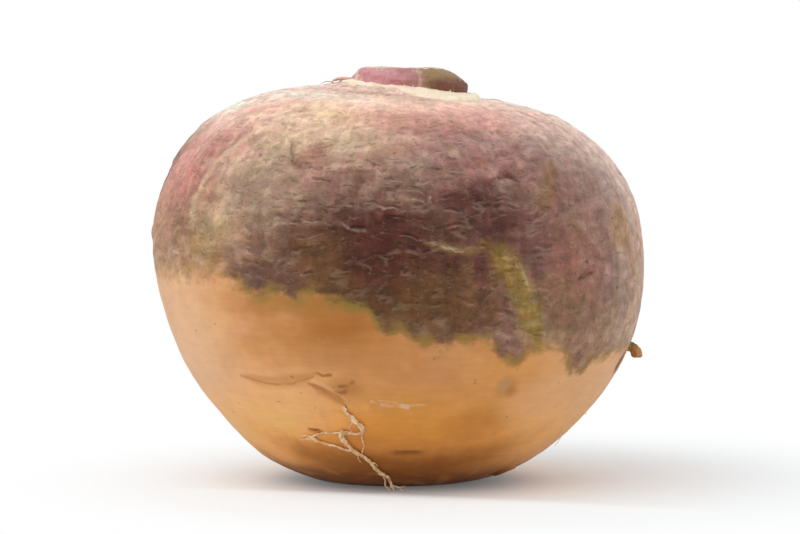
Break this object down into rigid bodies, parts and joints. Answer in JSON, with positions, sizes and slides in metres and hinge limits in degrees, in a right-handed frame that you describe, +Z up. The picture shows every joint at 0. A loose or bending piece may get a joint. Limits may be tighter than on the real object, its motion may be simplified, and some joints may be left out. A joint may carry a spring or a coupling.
{
  "type": "rutabaga",
  "caption": "Round swollen rutabaga root, purple above and orange below, with its cut leaf neck, dried side roots and a small flat spot to stand on.",
  "frame": {"origin": "on the plane that the root stands on, under the middle of its bounding box", "axes": "+Z up from the flat spot to the cut neck, +X along the widest breadth towards the side root stump, -Y towards the side with the dried rootlet"},
  "size_m": [0.12, 0.116, 0.1012],
  "materials": {
    "root_skin": "living root skin with a soft sheen: wine purple and rosy brown above, cream and tan cork on the shoulder, apricot orange below, fine cross cracks",
    "neck_skin": "pink to olive brown leaf-scar skin around a dry cream cut face",
    "dried_rootlet": "dried pale straw root fibre, matte",
    "dried_stump": "dried ochre cork, matte"
  },
  "bodies": {
    "root": {"swollen_root": "root_skin", "cut_neck": "neck_skin", "front_rootlet": "dried_rootlet", "side_root_stump": "dried_stump"}
  },
  "joints": []
}
